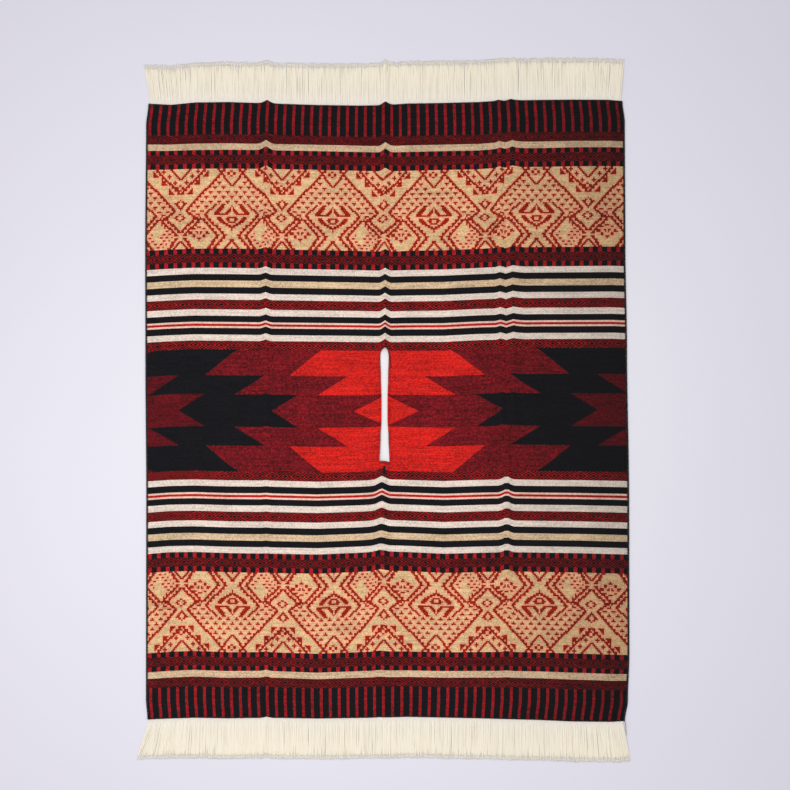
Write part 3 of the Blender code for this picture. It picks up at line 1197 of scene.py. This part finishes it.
def make_cloth(cloth):
    shape, top_faces = cloth_shape(cloth)
    made = piece(
        "woven_cloth",
        shape,
        "woven_cloth",
        cloth_material("woven_cloth_upper_side", cloth),
        cloth_material("woven_cloth_underside", cloth, figure="tan", tan="figure"),
    )
    finish = np.zeros(len(shape.faces), int)
    finish[top_faces : 2 * top_faces] = 1
    made.data.polygons.foreach_set("material_index", finish)
    made.data.set_sharp_from_angle(angle=math.radians(50))
    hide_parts("web_front", "web_left_shoulder", "web_right_shoulder", "web_back")


# ------------
# The neck slit

# The turned hem's section: how far each point lies outside the slit's edge, and its height.
HEM_SECTION = (
    (NECK_HEM_WIDTH, 0.0012),
    (NECK_HEM_WIDTH, 0.0021),
    (0.0052, 0.0027),
    (0.0030, 0.0030),
    (0.0010, 0.0029),
    (0.0001, 0.0023),
    (-0.0002, 0.0012),
    (0.0001, 0.0003),
    (0.0020, 0.0006),
)
SLIT_STEPS = 110  # along each side, and over half of its back end
END_STEPS = 5
STITCH_LINE = 0.0048  # how far outside the slit's edge the stitches run
STITCH_HEIGHT = 0.0031
# A stitch's points: the share of its length, and the height beside its middle's.
STITCH = ((0.0, -0.0009), (0.2, -0.0002), (0.5, 0.0), (0.8, -0.0002), (1.0, -0.0009))
TACK_PLACE = SLIT_FRONT - 0.0005
TACK_WIDTH = 0.0245
TACK_ALONG = 0.0075
TACK_STITCHES = 26
TACK_BED = 0.0016  # height of its stitches' ends
TACK_RISE = 0.0020
# dark threads laid as a painted shadow of the pucker in front of the slit
PUCKER_SHADOW_THREADS = 7
PUCKER_SHADOW_WIDTH = 0.0066
PUCKER_SHADOW_SHIFT = -0.0008
PUCKER_SHADOW_ALONG = (-0.156, -0.1790)
PUCKER_SHADOW_BED = 0.0018
PUCKER_SHADOW_RISE = 0.0012
# a dark thread laid as a painted shadow of the hem's fold
FOLD_SHADOW_ALONG = (0.112, 0.156)
FOLD_SHADOW_STRAY = (0.0064, 0.0008)  # how far the dark thread laid as the fold's painted shadow lies outside the edge, from front to back


def slit_edge(side):
    """Flat places along one side of the slit, from its front end round to the middle of its back end, with
    the direction out of the slit at each. side is -1 for left and 1 for right."""
    along = np.linspace(SLIT_FRONT, SLIT_BACK, SLIT_STEPS)
    across = slit_half_width(along)
    end = np.linspace(across[-1], 0, END_STEPS + 1)[1:]
    places = np.stack([np.append(across, end), np.append(along, np.full(END_STEPS, SLIT_BACK))], -1)
    ahead = unit(np.gradient(places, axis=0))
    for _ in range(3):
        ahead[1:-1] = unit(ahead[:-2] + 2 * ahead[1:-1] + ahead[2:])
    ahead[-1] = (-1, 0)
    out = np.stack([ahead[:, 1], -ahead[:, 0]], -1)
    return places * (side, 1), out * (side, 1)


def beside_slit(side, away, height):
    """A line on the cloth that follows one side of the slit."""
    places, out = slit_edge(side)
    flat = places + out * away
    return lie(flat[:, 0], flat[:, 1]) + (0, 0, height)


def hem_shape(side):
    """The turned hem along one side of the slit."""
    places, out = slit_edge(side)
    section = np.array(HEM_SECTION)
    flat = places[:, None] + out[:, None] * section[:, :1]
    points = lie(flat[..., 0], flat[..., 1])
    points[..., 2] += section[:, 1]
    steps, around = points.shape[:2]
    index = np.arange(steps * around).reshape(steps, around)
    after = np.roll(index, -1, axis=1)
    walls = np.stack([index[:-1], index[1:], after[1:], after[:-1]], -1).reshape(-1, 4)
    caps = np.stack([index[0], index[-1, ::-1]])
    if side < 0:
        walls, caps = walls[:, ::-1], caps[:, ::-1]
    row, column = np.divmod(np.arange(len(walls)), around)
    low, high = row / (steps - 1) * 0.9, (row + 1) / (steps - 1) * 0.9
    left, right = column / around, (column + 1) / around
    around_cell = ((left, low), (left, high), (right, high), (right, low))
    bake = np.stack([np.stack(pair, -1) for pair in around_cell], 1)
    if side < 0:
        bake = bake[:, ::-1]
    turn = np.arange(around) * math.tau / around
    round_cap = 0.03 * np.stack([np.cos(turn), np.sin(turn)], -1)
    bake = np.concatenate([bake.reshape(-1, 2), round_cap + (0.1, 0.95), round_cap + (0.3, 0.95)])
    loom = loomed(flat.reshape(-1, 2))
    loom = np.concatenate([loom[walls].reshape(-1, 2), loom[caps].reshape(-1, 2)])
    return Shape(points.reshape(-1, 3), [*walls.tolist(), *caps.tolist()], Loom=loom, OFBake=bake)


def stitches(line_points, trim, chart):
    """Short running stitches along a line: each rises out of the cloth and goes back into it."""
    stride = np.linalg.norm(np.diff(line_points, axis=0), axis=1)
    reached = np.append(0, np.cumsum(stride))
    pitch = trim.stitch + trim.stitch_gap
    starts = np.arange(0.001, reached[-1] - pitch, pitch)
    shares, heights = np.transpose(STITCH)
    at = starts[:, None] + shares * trim.stitch
    paths = np.stack([np.interp(at, reached, line_points[:, axis]) for axis in range(3)], -1)
    paths[..., 2] += heights
    return tubes(paths, trim.thread * 0.45, 5, chart=chart)


def bar_tack(trim, draw):
    """The block of satin stitches across the slit's front end."""
    share = np.linspace(-0.5, 0.5, TACK_STITCHES)
    across = share * TACK_WIDTH + draw.normal(0, 0.0001, TACK_STITCHES)
    half = TACK_ALONG / 2 * (1 + draw.uniform(-0.2, 0.15, TACK_STITCHES))
    arc = np.linspace(-1, 1, 7)
    along = TACK_PLACE + half[:, None] * arc + draw.normal(0, 0.0004, (TACK_STITCHES, 1))
    paths = lie(np.repeat(across[:, None], len(arc), axis=1), along)
    lump = 1 + 0.35 * np.sin(share * 14)[:, None]
    paths[..., 2] += TACK_BED + TACK_RISE * lump * np.sqrt(np.clip(1.02 - arc**2, 0, 1))
    return tubes(paths, trim.thread * 0.75, 6)


def pucker_shadow(draw):
    """Dark threads in front of the slit, laid as a painted shadow of the pucker there."""
    share = np.linspace(0, 1, 8)
    across = np.linspace(-1, 1, PUCKER_SHADOW_THREADS)[:, None] * PUCKER_SHADOW_WIDTH / 2
    across = across * (0.5 + 0.7 * share) + draw.normal(0, 0.0002, (PUCKER_SHADOW_THREADS, 1)) + PUCKER_SHADOW_SHIFT
    along = PUCKER_SHADOW_ALONG[0] + (PUCKER_SHADOW_ALONG[1] - PUCKER_SHADOW_ALONG[0]) * share
    along = along + draw.normal(0, 0.0008, (PUCKER_SHADOW_THREADS, 1))
    paths = lie(across, along)
    paths[..., 2] += PUCKER_SHADOW_BED + PUCKER_SHADOW_RISE * np.sin(share * math.pi)
    return tubes(paths, 0.0008, 5)


def fold_shadow_thread():
    """A dark thread laid along the slit's right edge near its back end, as a painted shadow of the hem's
    fold.
    """
    places, out = slit_edge(1)
    near = (places[:, 1] > FOLD_SHADOW_ALONG[0]) & (places[:, 1] < FOLD_SHADOW_ALONG[1])
    places, out = places[near], out[near]
    flat = places + out * np.linspace(*FOLD_SHADOW_STRAY, len(places))[:, None]
    path = lie(flat[:, 0], flat[:, 1]) + (0, 0, STITCH_HEIGHT)
    return tubes(path[None], 0.0010, 5)


def make_neck_slit(trim):
    finish = bpy.data.materials["woven_cloth_upper_side"]
    black, red = thread_materials(trim)
    for side, name in ((-1, "left"), (1, "right")):
        hem = piece("slit_hem_" + name, hem_shape(side), "hem", finish)
        hem.data.set_sharp_from_angle(angle=math.radians(60))
        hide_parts("neck_hem_" + name)
    charts = [(start / 4, (start + 1) / 4) for start in range(4)]
    # dark threads along the slit's edges; the right one is thicker and also serves as a painted shadow along
    # that edge
    lines = [
        tubes(beside_slit(side, -0.0001, 0.0021)[None], radius, 6, chart=chart)
        for side, radius, chart in ((-1, 0.0004, charts[0]), (1, 0.0006, charts[1]))
    ]
    runs = [
        stitches(beside_slit(side, STITCH_LINE, STITCH_HEIGHT), trim, chart)
        for side, chart in ((-1, charts[2]), (1, charts[3]))
    ]
    piece("slit_stitches", lines[0].joined(lines[1], *runs), "overlock", black)
    piece("bar_tack", bar_tack(trim, np.random.default_rng(5)), "overlock", red)
    # dark threads as a painted shadow of the pucker in front of the slit
    piece("slit_gather", pucker_shadow(np.random.default_rng(6)), "overlock", black)
    # dark thread as a painted shadow of the hem's fold
    piece("slit_seam", fold_shadow_thread(), "overlock", black)


# ------------
# The cloth's edges

# One loop of the overlock thread round a side edge: how far outside the edge, and how high.
OVERLOCK_LOOP = (
    (-0.0018, 0.0021),
    (0.0004, 0.0026),
    (0.0026, 0.0028),
    (0.0039, 0.0021),
    (0.0040, 0.0011),
    (0.0032, 0.0005),
    (0.0006, 0.0004),
)
CORE_OFFSET = 0.0020
CORE_HEIGHT = 0.0015
CORE_RADIUS = 0.0014
TAIL_LENGTH = 0.0430
TAIL_LEAN = 0.0075
TAIL_SWAY = 0.0012
# One overcast stitch over the end of the cloth: how far inside the end, and how high.
OVERCAST = ((0.0034, 0.0018), (0.0024, 0.0026), (0.0008, 0.0029), (-0.0002, 0.0018))


def side_loops(side, trim, draw):
    """The overlock along one side edge."""
    along = np.arange(-HALF_LENGTH + 0.001, HALF_LENGTH - 0.001, trim.overlock_pitch)
    loop = np.array(OVERLOCK_LOOP)
    turn = np.linspace(0, 0.7, len(loop)) * trim.overlock_pitch
    at = np.clip(along[:, None] + turn, -HALF_LENGTH, HALF_LENGTH)
    paths = lie(np.full(at.shape, side * HALF_WIDTH), at)
    reach = loop[:, 0] * np.where(loop[:, 0] < 0, draw.uniform(0.4, 1.2, (len(along), 1)), 1)
    paths[..., 0] += side * reach
    paths[..., 2] += loop[:, 1]
    return tubes(paths, trim.thread * 0.55, 5, beside=(0, 1, 0), chart=(0, 0.97), chart_rows=8)


def side_core(side):
    """The cords that the overlock loops hold along a side edge."""
    along = np.linspace(-HALF_LENGTH, HALF_LENGTH, 240)
    path = lie(np.full(240, side * HALF_WIDTH), along)
    path += (side * CORE_OFFSET, 0, CORE_HEIGHT)
    return tubes(path[None], CORE_RADIUS, 6, chart=(0.97, 1))


def thread_tail(trim):
    """The overlock thread's loose end at the front right corner."""
    root = lie(np.array(HALF_WIDTH), np.array(-HALF_LENGTH))
    down = np.linspace(0, 1, 14)
    path = np.stack([
        root[0] + 0.002 + TAIL_LEAN * down + TAIL_SWAY * np.sin(down * 5),
        root[1] + 0.004 - TAIL_LENGTH * down,
        0.0050 - 0.0012 * down,
    ], -1)
    return tubes(path[None], trim.thread * (0.8 - 0.4 * down), 6, chart=(0.9, 1))


def end_stitches(end, trim, draw):
    """The overcast stitches over one end of the cloth. end is 1 for the back and -1 for the front."""
    across = np.arange(-HALF_WIDTH + 0.001, HALF_WIDTH, trim.overcast_pitch)
    section = np.array(OVERCAST)
    inward = section[:, 0] * np.where(section[:, 0] > 0, draw.uniform(0.6, 1.15, (len(across), 1)), 1)
    at = across[:, None] + np.linspace(-0.5, 0.5, len(section)) * trim.overcast_pitch
    at = np.clip(at, -HALF_WIDTH, HALF_WIDTH)
    paths = lie(at, end * (HALF_LENGTH - np.clip(inward, 0, None)))
    paths[..., 1] += end * np.clip(-inward, 0, None)
    paths[..., 2] += section[:, 1]
    return tubes(paths, trim.thread * 0.6, 5, chart=(0, 0.9), chart_rows=4)


def make_edges(trim):
    draw = np.random.default_rng(11)
    black, _ = thread_materials(trim)
    for side, name in ((-1, "left"), (1, "right")):
        loops = side_loops(side, trim, draw).joined(side_core(side))
        made = piece("overlock_" + name, loops, "overlock", black)
        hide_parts("side_overlock_" + name)
    for end, name in ((1, "back"), (-1, "front")):
        shape = end_stitches(end, trim, draw)
        if end < 0:
            shape = shape.joined(thread_tail(trim))
        made = piece("overcast_" + name, shape, "hem", black)
        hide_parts("end_hem_" + name)


# ------------
# The fringes

# One fringe: its end of the cloth, its reach at the left, middle and right, and its corners' splay.
Fringe = namedtuple("Fringe", "name end left middle right splay_left splay_right")
FRINGES = (
    Fringe("back", 1, 0.101, 0.110, 0.107, 0.016, 0.012),
    Fringe("front", -1, 0.103, 0.105, 0.103, 0.0335, 0.021),
)
FRINGE_INSET = 0.002  # how far its first and last yarns are from the cloth's corners
SPLAY_POWER = 8  # only the yarns near a corner splay
ROOT_GAP = 0.0003
YARN_STEPS = (0.0, 0.05, 0.14, 0.28, 0.42, 0.56, 0.70, 0.82, 0.92, 1.0)
YARN_TAPER = ((0, 0.08, 0.80, 0.92, 1.0), (0.62, 1.0, 0.95, 0.75, 0.42))  # steps down, and thickness there
TUFT_STEPS = (0.0, 0.35, 0.7, 1.0)
TUFT = 0.010  # how far the hairs of a yarn's tip reach past it
YARN_BED = 0.46  # height of the lower yarns, and how much higher the upper ones lie, in thicknesses
LAYER_RISE = 0.62
ROOT_PRESSED = 0.45  # how much lower the hem presses them, and over what share of their reach
ROOT_SHARE = 0.14
TIP_HEIGHT = 0.0009  # how high the yarns lie at their tips
HAIR_HEIGHT = 0.0005
CLUMP = 7  # about how many neighbouring yarns lean together


def fringe_point(fringe, root_x, down):
    """Points of the fringe, a share of its reach down from their roots on the cloth's end."""
    across = root_x / HALF_WIDTH
    reach = np.where(
        across < 0,
        fringe.middle + (fringe.left - fringe.middle) * -across,
        fringe.middle + (fringe.right - fringe.middle) * across,
    )
    splay = np.where(across < 0, -fringe.splay_left, fringe.splay_right)
    root = lie(root_x, np.full(root_x.shape, fringe.end * HALF_LENGTH))
    ahead = splay * np.minimum(1, np.abs(across)) ** SPLAY_POWER * down
    rest = np.clip(1 - down, 0, 1) ** CREST_POWER
    return np.stack(
        [root[..., 0] + ahead, root[..., 1] + fringe.end * (ROOT_GAP + reach * down), root[..., 2] * rest], -1
    )


def soft_steps(draw, count, run):
    """Random values that stay alike over about run neighbours."""
    ticks = draw.normal(0, 1, count // run + 4)
    return np.interp(np.arange(count) / run, np.arange(len(ticks)), ticks)


def yarn_layer(fringe, settings, layer, draw):
    """One layer of a fringe's yarns, as their paths and how far down each one reaches."""
    count = settings.count
    half = HALF_WIDTH - FRINGE_INSET
    roots = -half + 2 * half * (np.arange(count) + 0.25 + 0.5 * layer) / count
    down = np.array(YARN_STEPS)
    cut = 1 - settings.ragged * draw.beta(1.3, 3.0, count)
    paths = fringe_point(fringe, np.repeat(roots[:, None], len(down), axis=1), down * cut[:, None])
    wander = settings.lean * (0.7 * soft_steps(draw, count, CLUMP) + 0.35 * draw.normal(0, 1, count))
    curl = settings.lean * 0.4 * draw.normal(0, 1, (count, 1)) * np.sin(down * math.pi)
    paths[..., 0] += wander[:, None] * down**1.6 + curl
    raised = (1 - ROOT_PRESSED) + ROOT_PRESSED * np.clip(down / ROOT_SHARE, 0, 1)
    height = settings.yarn * (YARN_BED + LAYER_RISE * layer) * raised
    cross = settings.yarn * 0.25 * draw.uniform(0, 1, (count, 1)) * np.sin(down * math.pi)
    paths[..., 2] += (height + cross) + (TIP_HEIGHT - height) * down**2
    return paths


def yarn_tips(paths, settings, draw, chart):
    """Three fine hairs that spread from each yarn's tip."""
    tip = paths[:, -1]
    ahead = unit(paths[:, -1] - paths[:, -2])
    ahead[:, 2] = 0
    count = len(tip)
    shares = np.array(TUFT_STEPS)
    hairs = []
    for spread in (-1, 0, 1):
        reach = TUFT * draw.uniform(0.45, 1.0, (count, 1, 1)) * shares[:, None]
        aside = np.zeros((count, len(shares), 3))
        aside[..., 0] = (spread * 0.0011 + draw.normal(0, 0.0007, (count, 1))) * shares**1.3
        aside[..., 2] = (HAIR_HEIGHT - tip[:, None, 2]) * shares
        hairs.append(tip[:, None] - ahead[:, None] * 0.002 + ahead[:, None] * reach + aside)
    taper = settings.yarn * (0.30 - 0.20 * shares)
    return tubes(np.concatenate(hairs), taper, 4, chart=chart, chart_rows=6)


def make_fringes(fringe_settings):
    finish = fringe_material(fringe_settings)
    draw = np.random.default_rng(fringe_settings.seed)
    down = np.array(YARN_STEPS)
    radii = fringe_settings.yarn / 2 * np.interp(down, *YARN_TAPER)
    for fringe in FRINGES:
        paths = np.concatenate([yarn_layer(fringe, fringe_settings, layer, draw) for layer in (0, 1)])
        yarns = tubes(paths, radii, 6, chart=(0, 0.72), chart_rows=2)
        tips = yarn_tips(paths, fringe_settings, draw, (0.72, 1))
        made = piece("fringe_yarns_" + fringe.name, yarns.joined(tips), "fringe", finish)
        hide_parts("fringe_" + fringe.name)


# ------------
# Floor, light and camera

FLOOR_SIZE = 14.0
FLOOR_GAP = 0.0003
VIEW_TARGET = Vector((0.0279, 0.0402, 0.0))
KEY_PLACE = Vector((-0.45, -0.25, 2.2))
KEY_TARGET = Vector((-0.25, 0.0, 0.0))
KEY_SIZE = 1.5


def aimed(name, data, place, target):
    made = bpy.data.objects.new(name, data)
    bpy.context.scene.collection.objects.link(made)
    made.location = place
    made.rotation_euler = (target - place).to_track_quat("-Z", "Y").to_euler()
    return made


def make_floor(stage):
    mesh = bpy.data.meshes.new("studio_floor")
    half = FLOOR_SIZE / 2
    ring = ((-half, -half), (half, -half), (half, half), (-half, half))
    mesh.from_pydata([(*corner, -FLOOR_GAP) for corner in ring], [], [(0, 1, 2, 3)])
    mesh.materials.append(floor_material(stage))
    floor = bpy.data.objects.new("studio_floor", mesh)
    bpy.context.scene.collection.objects.link(floor)


def make_lights(stage):
    lamp = bpy.data.lights.new("soft_key", "AREA")
    lamp.shape = "SQUARE"
    lamp.size = KEY_SIZE
    lamp.energy = stage.key
    key = aimed("soft_key", lamp, KEY_PLACE, KEY_TARGET)
    key.visible_camera = False
    world = bpy.data.worlds.new("studio")
    world.use_nodes = True
    background = world.node_tree.nodes["Background"]
    background.inputs["Color"].default_value = (1, 1, 1, 1)
    background.inputs["Strength"].default_value = stage.fill
    bpy.context.scene.world = world


def make_camera(stage):
    camera = bpy.data.cameras.new("camera")
    camera.sensor_width = 36
    camera.lens = camera.sensor_width * stage.distance / stage.view
    camera.clip_end = 4 * stage.distance
    back = Vector((0, -math.cos(stage.elevation), math.sin(stage.elevation)))
    place = VIEW_TARGET + back * stage.distance
    bpy.context.scene.camera = aimed("camera", camera, place, VIEW_TARGET)
    bpy.context.scene.view_settings.view_transform = "Standard"


# ------------
# Add-on


class PONCHO_OT_stage(bpy.types.Operator):
    """Lay the floor and set up the light and the camera"""

    bl_idname = "poncho.stage"
    bl_label = "Stage"

    def execute(self, context):
        stage = context.scene.poncho_stage
        make_floor(stage)
        make_lights(stage)
        make_camera(stage)
        return {"FINISHED"}


class PONCHO_OT_cloth(bpy.types.Operator):
    """Weave the cloth and lay it out with its folds"""

    bl_idname = "poncho.cloth"
    bl_label = "Cloth"

    def execute(self, context):
        shader_groups()
        make_cloth(context.scene.poncho_cloth)
        return {"FINISHED"}


class PONCHO_OT_neck_slit(bpy.types.Operator):
    """Hem the neck slit and sew its bar tack"""

    bl_idname = "poncho.neck_slit"
    bl_label = "Neck Slit"

    def execute(self, context):
        make_neck_slit(context.scene.poncho_trim)
        return {"FINISHED"}


class PONCHO_OT_edges(bpy.types.Operator):
    """Overlock the sides and overcast the ends"""

    bl_idname = "poncho.edges"
    bl_label = "Edges"

    def execute(self, context):
        make_edges(context.scene.poncho_trim)
        return {"FINISHED"}


class PONCHO_OT_fringes(bpy.types.Operator):
    """Lay out the yarns of both fringes"""

    bl_idname = "poncho.fringes"
    bl_label = "Fringes"

    def execute(self, context):
        make_fringes(context.scene.poncho_fringe)
        return {"FINISHED"}


OPERATORS = (PONCHO_OT_stage, PONCHO_OT_cloth, PONCHO_OT_neck_slit, PONCHO_OT_edges, PONCHO_OT_fringes)


class PONCHO_PT_panel(bpy.types.Panel):
    """The poncho's pieces, and what can be changed about them"""

    bl_idname = "PONCHO_PT_panel"
    bl_label = "Fringed Poncho"
    bl_space_type = "VIEW_3D"
    bl_region_type = "UI"
    bl_category = "Poncho"

    def draw(self, context):
        for name, kind in SETTINGS.items():
            box = self.layout.box()
            box.label(text=kind.__doc__)
            for setting in kind.__annotations__:
                box.prop(getattr(context.scene, name), setting)
        for operator in OPERATORS:
            self.layout.operator(operator.bl_idname)


CLASSES = (*SETTINGS.values(), *OPERATORS, PONCHO_PT_panel)


def register():
    for made in CLASSES:
        bpy.utils.register_class(made)
    for name, kind in SETTINGS.items():
        setattr(bpy.types.Scene, name, bpy.props.PointerProperty(type=kind))


def unregister():
    for name in SETTINGS:
        delattr(bpy.types.Scene, name)
    for made in reversed(CLASSES):
        bpy.utils.unregister_class(made)


def main():
    register()
    bpy.ops.poncho.stage()
    bpy.ops.poncho.cloth()
    bpy.ops.poncho.neck_slit()
    bpy.ops.poncho.edges()
    bpy.ops.poncho.fringes()
    bpy.context.view_layer.update()


if __name__ == "__main__":
    main()
